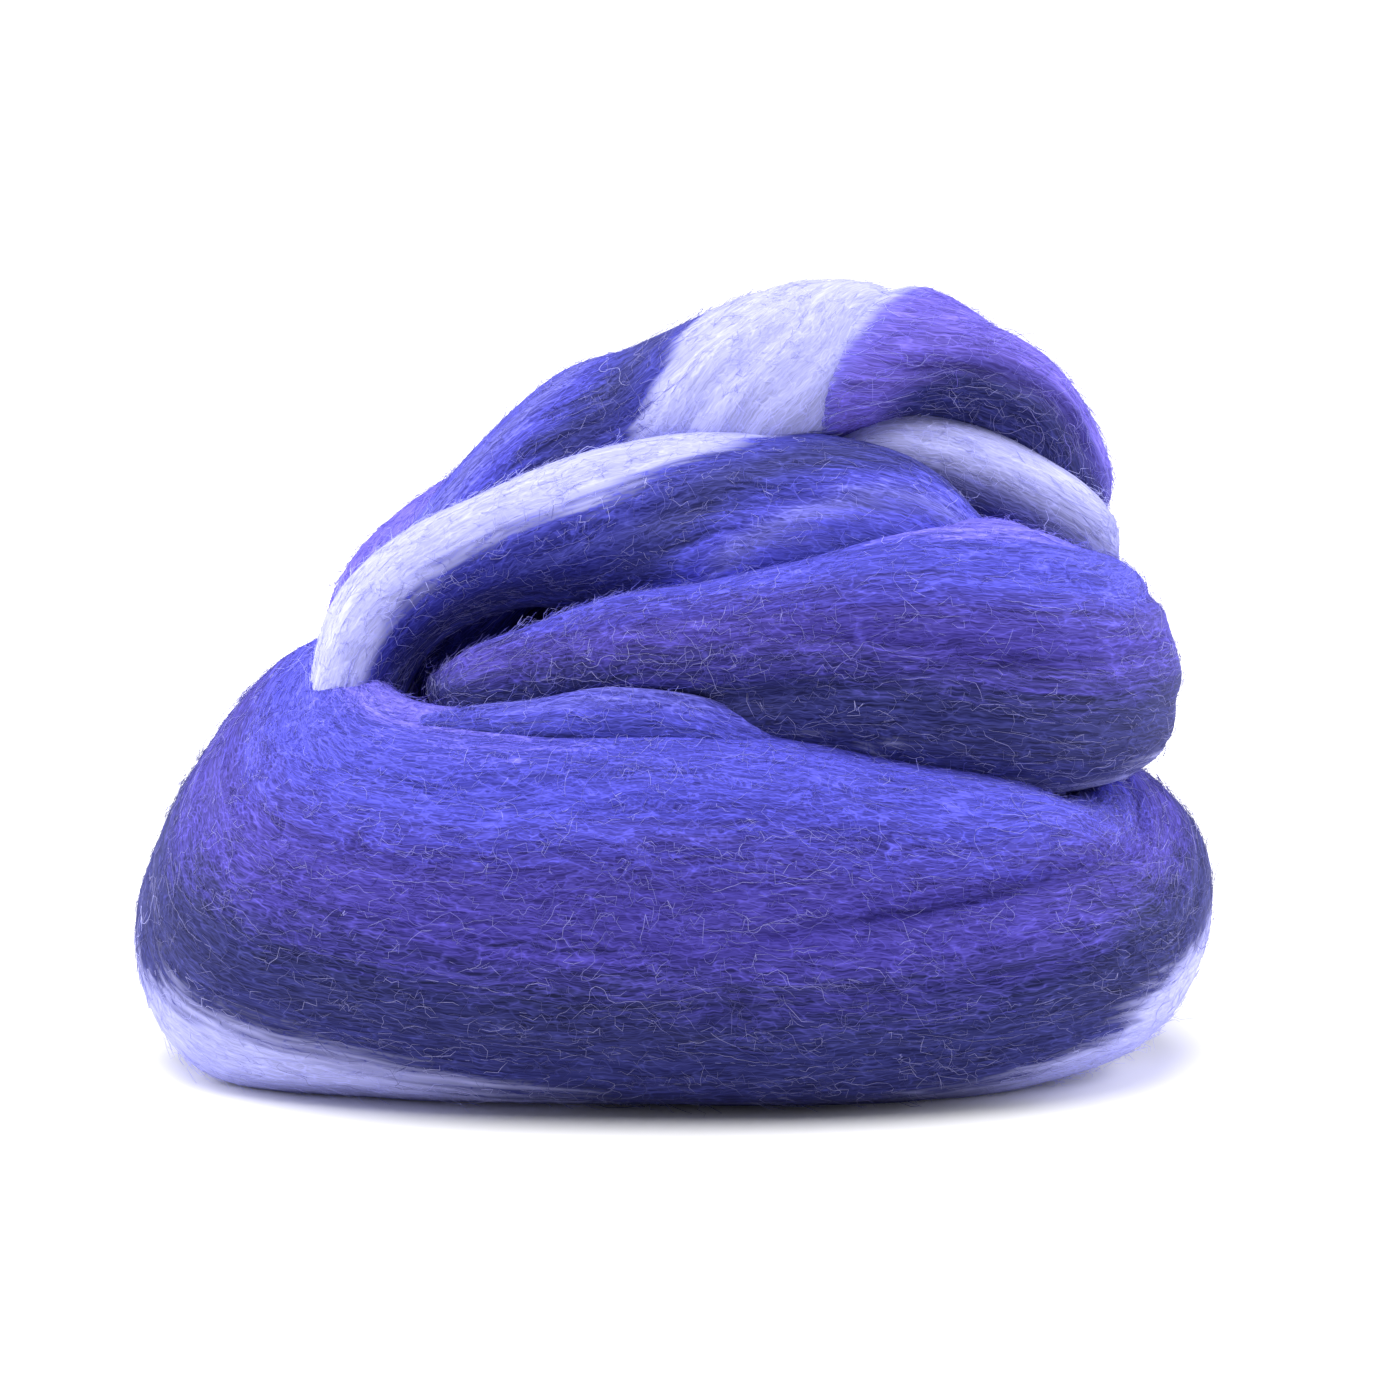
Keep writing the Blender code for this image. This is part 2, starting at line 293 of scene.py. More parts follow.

# %% [markdown]
# ## Locks and creases
#
# Combed wool isn't smooth. Its fibres cling together in locks a few millimetres wide, with soft
# valleys between them that run along the strand. Random heights on a grid that is long along the
# strand and narrow across it give that grain. Where the photographed strand has a deep crease, it is
# listed: from one table row to another, at a share of the ribbon's width.

# %% Random relief that closes on itself around the strand
def relief(u, v, cells_along, cells_around, rng):
    """Smooth random heights from -1 to 1 at u and v, which both go from 0 to 1. v wraps round."""
    heights = rng.uniform(-1, 1, (cells_along + 2, cells_around))
    x = u * cells_along
    y = (v % 1) * cells_around
    i = np.minimum(x.astype(int), cells_along)
    j = y.astype(int) % cells_around
    f = x - i
    g = y - np.floor(y)
    f = f * f * (3 - 2 * f)
    g = g * g * (3 - 2 * g)
    k = (j + 1) % cells_around
    near = heights[i, j] * (1 - g) + heights[i, k] * g
    far = heights[i + 1, j] * (1 - g) + heights[i + 1, k] * g
    return near * (1 - f) + far * f


# Width of the locks, their length and their height, in millimetres.
LOCKS = ((12.0, 90, 1.2), (5.5, 70, 0.8), (2.8, 60, 0.35))

# The locks wander across the strand: how far, over what length, and in how many places around it.
WANDER = 2.5
WANDER_LENGTH = 45
WANDER_CELLS = 5

# A power below 1 rounds the tops of the locks and narrows the valleys between them.
LOCK_POWER = 0.7
LOCK_LEVEL = 0.5
LEAST_CELLS_ALONG = 2
LEAST_CELLS_AROUND = 6

# A crease deepens and fades along its length by this power of a half wave.
CREASE_FADE = 0.6

# First and last table row, share of the width at each, depth and width in millimetres.
CREASES = {
    "front_turn": (
        (5.2, 8.3, 0.49, 0.76, 3.6, 2.0),
        (3.2, 6.0, 0.50, 0.47, 1.4, 1.8),
        (3.6, 8.0, 0.30, 0.42, 1.2, 2.0),
        (1.6, 4.4, 0.66, 0.62, 1.0, 2.2),
    ),
    "right_turn": (
        (4.4, 7.4, 0.30, 0.54, 2.4, 1.7),
        (3.4, 6.4, 0.50, 0.38, 1.5, 1.7),
        (5.4, 8.6, 0.72, 0.58, 1.2, 1.5),
        (2.0, 4.6, 0.20, 0.26, 1.8, 2.0),
    ),
    "arched_turn": ((3.0, 8.0, 0.40, 0.34, 1.4, 1.8), (0.4, 5.4, 0.10, 0.06, 6.0, 7.0)),
    "wrapping_turn": ((1.8, 5.6, 0.22, 0.20, 2.6, 1.8),),
    "crown_turn": ((2.6, 5.4, 0.30, 0.24, 1.2, 2.2),),
}


def lock_heights(u, v, length, girth, rng):
    """The grain of locks over a turn, in millimetres, with narrow valleys between rounded tops."""
    height = 0
    cells_along = max(LEAST_CELLS_ALONG, int(length / WANDER_LENGTH))
    drift = relief(u, v, cells_along, WANDER_CELLS, rng) * WANDER / girth
    for width, reach, tall in LOCKS:
        cells_along = max(LEAST_CELLS_ALONG, int(length / reach))
        cells_around = max(LEAST_CELLS_AROUND, int(girth / width))
        bumps = relief(u, v + drift, cells_along, cells_around, rng)
        height = height + tall * (np.abs(bumps) ** LOCK_POWER - LOCK_LEVEL)
    return height


def crease_depths(name, row, across, width_mm):
    """How deep the listed creases are at each point of a turn, in millimetres."""
    depth = 0
    for first, last, start, end, deep, wide in CREASES.get(name, ()):
        share = np.clip((row - first) / (last - first), 0, 1)
        off = (across - start - (end - start) * share) * width_mm
        fade = np.sin(np.pi * share) ** CREASE_FADE
        depth = depth + deep * fade * np.exp(-((off / wide) ** 2))
    return depth


# %% [markdown]
# ## Build one turn
#
# The section is a rounded oval between the two edges. Its points are spaced evenly round it. At both
# ends the sections shrink to a rounded tip, so the turn is closed. Where the heap lies on the table,
# the wool is pressed flat.

# %% Build the grid of a turn
OVAL_POWER = 2.1
OVAL_STEPS = 720
POINT_SPACING = 1.0
TIP_SECTIONS = 5
TIP_SIZE = 0.03
LEAST_GIRTH = 0.2
FLOOR_GAP = 0.1
FIRST_SEED = 11


def signed_power(values, power):
    """A power that keeps each value's sign, which turns a circle into a rounded oval."""
    return np.sign(values) * np.abs(values) ** power


def even_angles(half_width, half_thick):
    """Angles round an oval whose points are POINT_SPACING apart, starting at its upper edge."""
    angle = np.linspace(0, 2 * np.pi, OVAL_STEPS + 1)
    steps = np.hypot(half_width * np.sin(angle), half_thick * np.cos(angle))
    run = np.concatenate([[0], np.cumsum((steps[1:] + steps[:-1]) / 2 * np.diff(angle))])
    count = int(run[-1] / POINT_SPACING)
    even = np.linspace(0, run[-1], count, endpoint=False)
    return np.interp(even, run, angle), run[-1]


def with_tips(sections, run, row):
    """The sections with a rounded tip added at each end."""
    middle = (sections[:, UPPER] + sections[:, LOWER]) / 2
    half = (sections[:, UPPER] - sections[:, LOWER]) / 2
    thick = sections[:, THICK]
    along = unit(np.gradient(middle, axis=0))
    angle = np.linspace(0, np.pi / 2, TIP_SECTIONS + 1)[1:, None]
    size = np.maximum(np.cos(angle), TIP_SIZE)
    out = []
    for end, way in ((0, -1), (-1, 1)):
        reach = np.sin(angle) * thick[end] / 2
        tip_middle = middle[end] + way * along[end] * reach
        tip = np.hstack([
            tip_middle + half[end] * size,
            tip_middle - half[end] * size,
            thick[end] * size,
            np.repeat(sections[end:, DYES][:1], TIP_SECTIONS, axis=0),
        ])
        out.append((tip, run[end] + way * reach[:, 0], np.full(TIP_SECTIONS, row[end])))
    (head, head_run, head_row), (tail, tail_run, tail_row) = out
    return (
        np.vstack([head[::-1], sections, tail]),
        np.concatenate([head_run[::-1], run, tail_run]),
        np.concatenate([head_row[::-1], row, tail_row]),
    )


def surface_normals(points):
    """The outward direction at each point of a grid that closes on itself around."""
    along = np.gradient(points, axis=0)
    around = np.roll(points, -1, axis=1) - np.roll(points, 1, axis=1)
    return unit(np.cross(around, along))


def build_turn(name, seed):
    """The grid of one turn in metres, with what the dye, the fibres and the mesh need."""
    rng = np.random.default_rng(seed)
    sections, run, row = with_tips(*even_sections(TURNS[name]))
    middle = (sections[:, UPPER] + sections[:, LOWER]) / 2
    half = (sections[:, UPPER] - sections[:, LOWER]) / 2
    thick = sections[:, THICK]
    dyes = sections[:, DYES]
    along = unit(np.gradient(middle, axis=0))
    face = unit(np.cross(along, half)) * thick / 2
    width = np.linalg.norm(half, axis=1)
    breadth = width / width.mean()

    # The oval between the two edges, with points spaced evenly round it.
    angle, girth = even_angles(width.mean(), thick.mean() / 2)
    to_upper = signed_power(np.cos(angle), 2 / OVAL_POWER)
    to_face = signed_power(np.sin(angle), 2 / OVAL_POWER)
    points = (
        middle[:, None]
        + half[:, None] * to_upper[None, :, None]
        + face[:, None] * to_face[None, :, None]
    )
    normals = surface_normals(points)
    outwards = ((points - middle[:, None]) * normals).sum(-1).mean()
    normals *= np.sign(outwards)

    # The grain of the locks and the creases, which both fade where the strand narrows.
    u = np.repeat(((run - run[0]) / (run[-1] - run[0]))[:, None], len(angle), axis=1)
    v = np.repeat((np.arange(len(angle)) / len(angle))[None], len(run), axis=0)
    across = np.repeat((0.5 + to_upper / 2)[None], len(run), axis=0)
    height = lock_heights(u, v, run[-1], girth, rng)
    height = height - crease_depths(name, row[:, None], across, 2 * width[:, None])
    taper = np.minimum(1, breadth)[:, None]
    points = points + normals * (height * taper)[..., None]
    points[..., 2] = np.maximum(points[..., 2], FLOOR_GAP)

    # The place inside the strand: millimetres across it, through it and along it.
    offsets = np.stack([
        width[:, None] * to_upper[None],
        thick / 2 * to_face[None],
        np.repeat(run[:, None], len(angle), axis=1),
    ], -1)
    return SimpleNamespace(
        name=name,
        points=points * MM,
        normals=surface_normals(points) * np.sign(outwards),
        flip=outwards < 0,
        run=run,
        girth=girth * np.maximum(breadth, LEAST_GIRTH),
        stripe=dyes[:, :1] * (1 - across) + dyes[:, 1:] * across,
        offsets=offsets * MM,
    )


turns = {name: build_turn(name, seed) for seed, name in enumerate(TURNS, start=FIRST_SEED)}
for turn in turns.values():
    print(turn.name, "grid", turn.points.shape[:2], "length", round(turn.run[-1]), "mm")

# %% [markdown]
# ## Turn grids into meshes
#
# Blender's mesh takes its points, corners and faces as flat arrays. The mesh keeps two things for
# the material: the share of the width, where the dye is read; and the place inside the strand, on
# which the fine fibres are drawn. It also keeps a flat map of the turn.

# %% Make the turns' meshes
BAKE_MAP = "OFBake"


def mesh_object(name, points, faces):
    """A mesh object at the origin from arrays of points and of faces that have one number of corners."""
    mesh = bpy.data.meshes.new(name)
    corners = faces.shape[1]
    mesh.vertices.add(len(points))
    mesh.vertices.foreach_set("co", points.astype(np.float32).ravel())
    mesh.loops.add(faces.size)
    mesh.loops.foreach_set("vertex_index", faces.astype(np.int32).ravel())
    mesh.polygons.add(len(faces))
    mesh.polygons.foreach_set("loop_start", np.arange(len(faces), dtype=np.int32) * corners)
    mesh.update(calc_edges=True)
    mesh.polygons.foreach_set("use_smooth", np.ones(len(faces), bool))
    made = bpy.data.objects.new(name, mesh)
    bpy.context.scene.collection.objects.link(made)
    return made


def columns_of(*columns):
    """Arrays or single numbers side by side, as the columns of one array."""
    return np.stack(np.broadcast_arrays(*columns), 1)


def grid_faces(rows, columns, flip):
    """Triangles of a grid that closes around, with a fan over each end, and each corner's map place."""
    i, j = np.meshgrid(np.arange(rows - 1), np.arange(columns), indexing="ij")
    i = i.ravel()
    j = j.ravel()
    k = (j + 1) % columns
    a = i * columns + j
    b = i * columns + k
    c = (i + 1) * columns + k
    d = (i + 1) * columns + j
    ring = np.arange(columns)
    following = (ring + 1) % columns
    head = rows * columns
    tail = head + 1
    last = rows - 1
    last_ring = last * columns + ring
    faces = np.concatenate([
        columns_of(a, b, c),
        columns_of(a, c, d),
        columns_of(head, following, ring),
        columns_of(tail, last_ring, last * columns + following),
    ])
    place = np.concatenate([
        columns_of(i, j, i, j + 1, i + 1, j + 1),
        columns_of(i, j, i + 1, j + 1, i + 1, j),
        columns_of(-1, ring + 0.5, 0, ring + 1, 0, ring),
        columns_of(rows, ring + 0.5, last, ring, last, ring + 1),
    ]).reshape(-1, 3, 2)
    if flip:
        faces = faces[:, ::-1]
        place = place[:, ::-1]
    return faces, place


def put_attribute(piece, name, kind, values):
    """Stores one value or vector for each of the piece's vertices."""
    made = piece.data.attributes.new(name, kind, "POINT")
    made.data.foreach_set("value" if kind == "FLOAT" else "vector", values.astype(np.float32).ravel())


def put_map(piece, places):
    """Stores the flat map, one place for each corner."""
    made = piece.data.uv_layers.new(name=BAKE_MAP, do_init=False)
    made.uv.foreach_set("vector", places.astype(np.float32).ravel())


def turn_mesh(turn):
    """The closed mesh of one turn, with its dye, strand and map values."""
    rows, columns = turn.stripe.shape
    ends = turn.points[[0, -1]].mean(1)
    faces, place = grid_faces(rows, columns, turn.flip)
    piece = mesh_object(turn.name, np.vstack([turn.points.reshape(-1, 3), ends]), faces)
    stripe = np.concatenate([turn.stripe.ravel(), turn.stripe[[0, -1]].mean(1)])
    offsets = np.vstack([turn.offsets.reshape(-1, 3), turn.offsets[[0, -1]].mean(1)])
    put_attribute(piece, "stripe", "FLOAT", stripe)
    put_attribute(piece, "strand", "FLOAT_VECTOR", offsets)
    side = max((rows + 1) * SECTION_SPACING, columns * POINT_SPACING)
    place = (place + [1, 0]) * [SECTION_SPACING / side, POINT_SPACING / side]
    put_map(piece, place.reshape(-1, 2))
    return piece


bpy.ops.object.select_all(action="DESELECT")
pieces = {name: turn_mesh(turn) for name, turn in turns.items()}
print("turns:", sum(len(p.data.polygons) for p in pieces.values()), "triangles")

# %% [markdown]
# ## Materials from sums
#
# A material is a tree of nodes. Two small helpers keep it readable: a value that takes part in
# ordinary sums, and one method that adds any other node.

# %% Sums on sockets and a maker of nodes
class Value:
    """One number in a material, on which sums are written as in Python."""

    def __init__(self, tree, socket):
        self.tree = tree
        self.socket = socket

    def maths(self, operation, first, second=0.0):
        """A maths node on one or two numbers, as a value."""
        made = self.tree.node("ShaderNodeMath", {"operation": operation}, {0: first, 1: second})
        return Value(self.tree, made.outputs[0])

    def __add__(self, other):
        return self.maths("ADD", self, other)

    __radd__ = __add__

    def __sub__(self, other):
        return self.maths("SUBTRACT", self, other)

    def __rsub__(self, other):
        return self.maths("SUBTRACT", other, self)

    def __mul__(self, other):
        return self.maths("MULTIPLY", self, other)

    __rmul__ = __mul__

    def __abs__(self):
        return self.maths("ABSOLUTE", self)

    def sine(self):
        """The sine of the number."""
        return self.maths("SINE", self)

    def at_least(self, least):
        """The larger of the number and another one."""
        return self.maths("MAXIMUM", self, least)


class Tree:
    """A material's nodes."""

    def __init__(self, name):
        self.material = bpy.data.materials.new(name)
        self.material.use_nodes = True
        self.nodes = self.material.node_tree.nodes
        self.links = self.material.node_tree.links
        self.inputs = self.nodes["Principled BSDF"].inputs

    def finish(self, **sockets):
        """Sets the shader's sockets, whose names are written with _ for a space."""
        for name, value in sockets.items():
            self.feed(self.inputs[name.replace("_", " ")], value)
        return self.material

    def feed(self, socket, value):
        """Sets a socket to a number or colour, or links it to a value or another node's socket."""
        if isinstance(value, Value):
            value = value.socket
        if isinstance(value, bpy.types.NodeSocket):
            self.links.new(value, socket)
        else:
            socket.default_value = value

    def node(self, kind, settings, sockets):
        """Adds a node, with its settings and then its sockets, which go by name or number."""
        made = self.nodes.new(kind)
        for name, value in settings.items():
            setattr(made, name, value)
        for name, value in sockets.items():
            self.feed(made.inputs[name], value)
        return made

    def parts(self, vector):
        """The three numbers of a vector."""
        made = self.node("ShaderNodeSeparateXYZ", {}, {0: vector})
        return [Value(self, socket) for socket in made.outputs]

    def noise(self, x, y, z, detail=0.0):
        """Noise around 0.5 with cells of size 1, as a node."""
        place = self.node("ShaderNodeCombineXYZ", {}, {0: x, 1: y, 2: z})
        settings = {"Scale": 1.0, "Detail": detail, "Roughness": 0.6}
        return self.node("ShaderNodeTexNoise", {}, {"Vector": place.outputs[0], **settings})

    def grain(self, wide, deep, far, cells):
        """Noise inside the strand, with so many cells in a millimetre across and along, and a detail."""
        across, along, detail = cells
        return self.noise(wide * across, deep * across, far * along, detail)

    def level(self, node):
        """The first output of a node as a number."""
        return Value(self, node.outputs[0])

    def dye(self, chart, place):
        """The colour at a place on a chart of dyes."""
        made = self.node("ShaderNodeValToRGB", {}, {0: place})
        ramp = made.color_ramp
        while len(ramp.elements) < len(chart):
            ramp.elements.new(1.0)
        for stop, (at, colour) in zip(ramp.elements, chart):
            stop.position = at
            stop.color = (*colour, 1.0)
        return made.outputs[0]

    def mix(self, blend, factor, first, second):
        """Mixes two colours, either of which may be a tuple."""
        made = self.node("ShaderNodeMix", {"data_type": "RGBA", "blend_type": blend}, {})
        sockets = {socket.identifier: socket for socket in made.inputs}
        self.feed(sockets["Factor_Float"], factor)
        for side, colour in (("A_Color", first), ("B_Color", second)):
            self.feed(sockets[side], (*colour, 1.0) if isinstance(colour, tuple) else colour)
        return next(socket for socket in made.outputs if socket.identifier == "Result_Color")

    def grey(self, level):
        """A grey of one level as a colour."""
        return self.node("ShaderNodeCombineColor", {}, {0: level, 1: level, 2: level}).outputs[0]


# %% [markdown]
# ## Combed wool
#
# Seen close, combed wool is a web of fine bright fibres over a darker ground of more fibres. They
# wander slowly across the strand, so a slow drift first pushes the place inside the strand to the side.
# Each fibre is also crimped into small waves, about two millimetres long, and neighbours wave together,
# so one wave moves them all. A fibre is then drawn where a noise, which is stretched along the strand,
# crosses its middle value: that gives thin lines which wander, split and cross, as fibres do. Five
# layers of them go from fine and straight to sparse and leaning. The edge between two dyes is moved by
# the same fibres, because both colours mingle there. Pale wool lets light through, so its fibres stand
# out less, which is what the depth below does. Last, a bump lifts the bundles that the fibres cling in.

# %% The wool's material
CRIMP_LENGTH = 1.8
CRIMP_SIZE = 0.045
CRIMP_DRIFT = 16.0
DRIFT = 3.0
BUMP_HEIGHT = 0.22 * MM

# Cells of each noise in a millimetre across the strand and along it, and its detail.
PHASE_CELLS = (0.25, 0.07, 0.0)
DRIFT_CELLS = (0.10, 0.07, 1.0)
BUNDLE_CELLS = (0.70, 0.03, 1.5)
LOCK_CELLS = (0.17, 0.014, 1.0)

# What the bundles, the locks and the web do, each around its own middle level: how far they move the
# edge between two dyes, as a share of the chart, and how much they lighten the wool.
MIDDLES = (0.5, 0.5, 0.3)
EDGE_SHIFTS = (0.18, 0.12, 0.04)
LIGHTS = (0.66, 0.38, 0.86)
LIGHT_LEVEL = 0.88
LIGHT_MIDDLE = 0.97
PALE_DYE_SOFTENING = 1.25
PALE_FIBRES = 0.06

# Spacing of the fibres and length of their runs in millimetres, lean, crimp, thinness and brightness.
WEB = (
    (0.36, 26.0, 0.01, 1.0, 5.0, 0.32),
    (0.50, 30.0, -0.04, 0.8, 8.0, 0.38),
    (0.75, 28.0, 0.09, 1.2, 13.0, 0.46),
    (1.20, 22.0, -0.16, 1.0, 22.0, 0.52),
    (1.80, 18.0, 0.26, 1.3, 34.0, 0.52),
)


def wool(name, chart):
    """Striped combed wool, whose fibres follow the strand."""
    tree = Tree(name)
    strand = tree.node("ShaderNodeAttribute", {"attribute_name": "strand"}, {})
    stripe = tree.node("ShaderNodeAttribute", {"attribute_name": "stripe"}, {})
    stripe = Value(tree, stripe.outputs["Fac"])
    wide, deep, far = (part * (1 / MM) for part in tree.parts(strand.outputs["Vector"]))
    phase = tree.level(tree.grain(wide, deep, far, PHASE_CELLS))
    wave = (far * (2 * math.pi / CRIMP_LENGTH) + phase * CRIMP_DRIFT).sine() * CRIMP_SIZE
    drift = tree.grain(wide, deep, far, DRIFT_CELLS)
    to_side, to_face, _ = tree.parts(drift.outputs["Color"])
    wide = wide + to_side * DRIFT
    deep = deep + to_face * DRIFT
    web = 0
    for across, along, lean, crimp, thin, bright in WEB:
        level = tree.level(
            tree.noise(
                (wide + wave * crimp + far * lean) * (1 / across),
                (deep + wave * crimp - far * lean) * (1 / across),
                far * (1 / along) + across * 100,
            )
        )
        line = (1 - abs(level - 0.5) * thin).at_least(0.0)
        web = web + line * bright
    bundle = tree.level(tree.grain(wide, deep, far, BUNDLE_CELLS))
    lock = tree.level(tree.grain(wide, deep, far, LOCK_CELLS))
    mingled = stripe
    lifted = -LIGHT_MIDDLE
    for part, middle, shift, light in zip((bundle, lock, web), MIDDLES, EDGE_SHIFTS, LIGHTS):
        mingled = mingled + (part - middle) * shift
        lifted = lifted + part * light
    dyed = tree.dye(chart, mingled)
    red = tree.level(tree.node("ShaderNodeSeparateColor", {}, {0: dyed}))
    depth = 1 - red * PALE_DYE_SOFTENING
    shaded = tree.mix("MULTIPLY", 1.0, dyed, tree.grey(LIGHT_LEVEL + lifted * depth))
    bump = tree.node("ShaderNodeBump", {}, {"Strength": 1.0, "Distance": BUMP_HEIGHT, "Height": bundle})
    return tree.finish(
        Base_Color=tree.mix("MIX", web * PALE_FIBRES, shaded, PALE),
        Normal=bump.outputs[0],
        Roughness=0.8,
        Specular_IOR_Level=0.2,
        Sheen_Weight=0.21,
        Sheen_Roughness=0.35,
        Sheen_Tint=(0.30, 0.31, 1.0, 1.0),
    )


faces = {name: SHOWN_FACES.get(name, "dark_face") for name in TURNS}
finishes = {face: wool("wool_" + face, chart) for face, chart in CHARTS.items()}
for name, piece in pieces.items():
    piece.data.materials.append(finishes[faces[name]])
print("finishes:", sorted(finishes))

# %% [markdown]
# ## Where the wool shows
#
# Half of every turn lies inside the heap. Loose fibres there would never be seen, so each place on a
# turn is tested: rays leave it in a few directions, and if none gets away, no fibre grows there.

# %% Measure how open a place is
def heap_tree():
    """All turns as one tree of triangles, for rays."""
    points = []
    faces = []
    start = 0
    for piece in pieces.values():
        mesh = piece.data
        co = np.empty(len(mesh.vertices) * 3, np.float32)
        mesh.vertices.foreach_get("co", co)
        index = np.empty(len(mesh.loops), np.int32)
        mesh.loops.foreach_get("vertex_index", index)
        points.append(co.reshape(-1, 3))
        faces.append(index.reshape(-1, 3) + start)
        start += len(mesh.vertices)
    return BVHTree.FromPolygons(np.vstack(points).tolist(), np.vstack(faces).tolist())


heap = heap_tree()
RAYS = unit(np.array([(0, 0, 1), (1, 0, 0.6), (-1, 0, 0.6), (0, 1, 0.6), (0, -1, 0.6)], float))
RAY_TILT = 0.9
LEAST_RISE = 0.05
START_OFF = 0.8 * MM


def is_open(points, normals):
    """How many rays, each tilted from straight out, leave the heap from each point."""
    found = []
    for point, normal in zip(points, normals):
        start = Vector(point + normal * START_OFF)
        free = 0
        for ray in RAYS:
            way = Vector(normal + ray * RAY_TILT).normalized()
            if way.dot(Vector(normal)) > LEAST_RISE and heap.ray_cast(start, way)[0] is None:
                free += 1
        found.append(free)
    return np.array(found)


# %% [markdown]
# ## Loose fibres
#
# Wool has a halo. Fibres lie loosely on the surface, rise off it in small arcs, and a few long ones
# stray across the folds. Each fibre here walks along its turn: mostly forward, a little sideways, with
# its crimp, and at a height that starts in the wool and either ends in it again or rises to a free end.
# It becomes a thin three-sided tube, because a curve for each of thousands would be far heavier, and
# all the fibres of one kind on one turn are joined into one mesh.

# %% Walk fibres over a turn and make them tubes
TUBE_SIDES = 3
TUBE_TIP = 0.5
ODD_WAY = (0.31, 0.52, 0.79)
FLOOR_CLEARANCE = 0.05 * MM
MAP_STEP = 0.002
MAP_EDGE = 0.001


def on_turn(turn, run, around, height):
    """Places and outward directions on a turn: millimetres along, a share around, a height off it."""
    rows, columns = turn.stripe.shape
    i = np.minimum(np.interp(run, turn.run, np.arange(rows)), rows - 1.001)
    j = (around % 1) * columns
    i0 = i.astype(int)
    j0 = j.astype(int) % columns
    j1 = (j0 + 1) % columns
    f = (i - i0)[..., None]
    g = (j - np.floor(j))[..., None]

    def blend(grid):
        near = grid[i0, j0] * (1 - g) + grid[i0, j1] * g
        far = grid[i0 + 1, j0] * (1 - g) + grid[i0 + 1, j1] * g
        return near * (1 - f) + far * f

    normal = unit(blend(turn.normals))
    return blend(turn.points) + normal * (height * MM)[..., None], normal


def tube_mesh(name, paths, radius, shade):
    """One mesh of closed, tapered tubes. shade is each tube's map place: its stripe and its tint."""
    count, steps = paths.shape[:2]
    along = unit(np.gradient(paths, axis=1))
    side = unit(np.cross(along, ODD_WAY))
    up = np.cross(along, side)
    t = np.linspace(-1, 1, steps)
    taper = np.maximum(1 - t**4, TUBE_TIP)[None, :, None, None] * radius[:, None, None, None]
    angle = np.arange(TUBE_SIDES) * 2 * np.pi / TUBE_SIDES
    ring = (
        side[:, :, None] * np.cos(angle)[None, None, :, None]
        + up[:, :, None] * np.sin(angle)[None, None, :, None]
    )
    points = (paths[:, :, None] + ring * taper).reshape(-1, 3)
    points[:, 2] = np.maximum(points[:, 2], FLOOR_CLEARANCE)
    start = (np.arange(count) * steps * TUBE_SIDES)[:, None]
    i, j = np.meshgrid(np.arange(steps - 1), np.arange(TUBE_SIDES), indexing="ij")
    i = i.ravel() * TUBE_SIDES
    j = j.ravel()
    k = (j + 1) % TUBE_SIDES
    a = start + i + j
    b = start + i + k
    c = start + i + TUBE_SIDES + k
    d = start + i + TUBE_SIDES + j
    last = start + (steps - 1) * TUBE_SIDES
    faces = np.concatenate([
        np.stack([a, b, c], -1).reshape(-1, 3),
        np.stack([a, c, d], -1).reshape(-1, 3),
        np.stack([start + 0, start + 2, start + 1], -1).reshape(-1, 3),
        np.stack([last + 0, last + 1, last + 2], -1).reshape(-1, 3),
    ])
    piece = mesh_object(name, points, faces)
    fibre = faces // (steps * TUBE_SIDES)
    step = faces % (steps * TUBE_SIDES) // TUBE_SIDES
    corner = faces % TUBE_SIDES
    places = shade[fibre]
    places[..., 0] += (corner - 1) * MAP_STEP
    places[..., 1] += (step / steps - 0.5) * 2 * MAP_STEP
    put_map(piece, np.clip(places, MAP_EDGE, 1 - MAP_EDGE))
    return piece


print("tube helper ready,", TUBE_SIDES, "sides")

# %% Kinds of loose fibre
# Fibres on a square centimetre, length from and to, lean and wander in degrees, height, crimp and
# thickness in millimetres, points along each, and whether its end is free.
KINDS = {
    "lying": (3.6, 8, 22, 8, 14, 0.20, 0.14, 0.080, 22, False),
    "fuzz": (35.0, 3, 7, 38, 95, 1.20, 0.10, 0.080, 5, True),
    "stray": (1.8, 8, 26, 35, 95, 0.75, 0.16, 0.085, 24, False),
}

# A fibre turns in a slow wave and in a quicker, smaller one, whose waves along it are these.
SLOW_WAVES = (0.4, 1.4)
QUICK_WAVES = (1.5, 3.0)
QUICK_SHARE = 0.6

# The length of one crimp in millimetres, and the shares of a kind's crimp and thickness that occur.
CRIMP_LENGTHS = (1.8, 2.6)
CRIMP_SHARES = (0.4, 1.0)
THICKNESS_SHARES = (0.7, 1.2)

# Middle and spread of the fibres' heights, as powers of e, and how deep they are rooted.
HEIGHT_SPREAD = (-0.3, 0.55)
ROOT_DEPTH = 0.1
ROOT_CLEARANCE = 1.2 * MM


def open_roots(turn, count, rng):
    """Random places on a turn where the wool shows, as millimetres along it and a share around it."""
    run = rng.uniform(turn.run[0], turn.run[-1], count)
    around = rng.uniform(0, 1, count)
    points, normals = on_turn(turn, run, around, np.zeros(count))
    keep = (is_open(points, normals) >= 1) & (points[:, 2] > ROOT_CLEARANCE)
    return run[keep], around[keep]


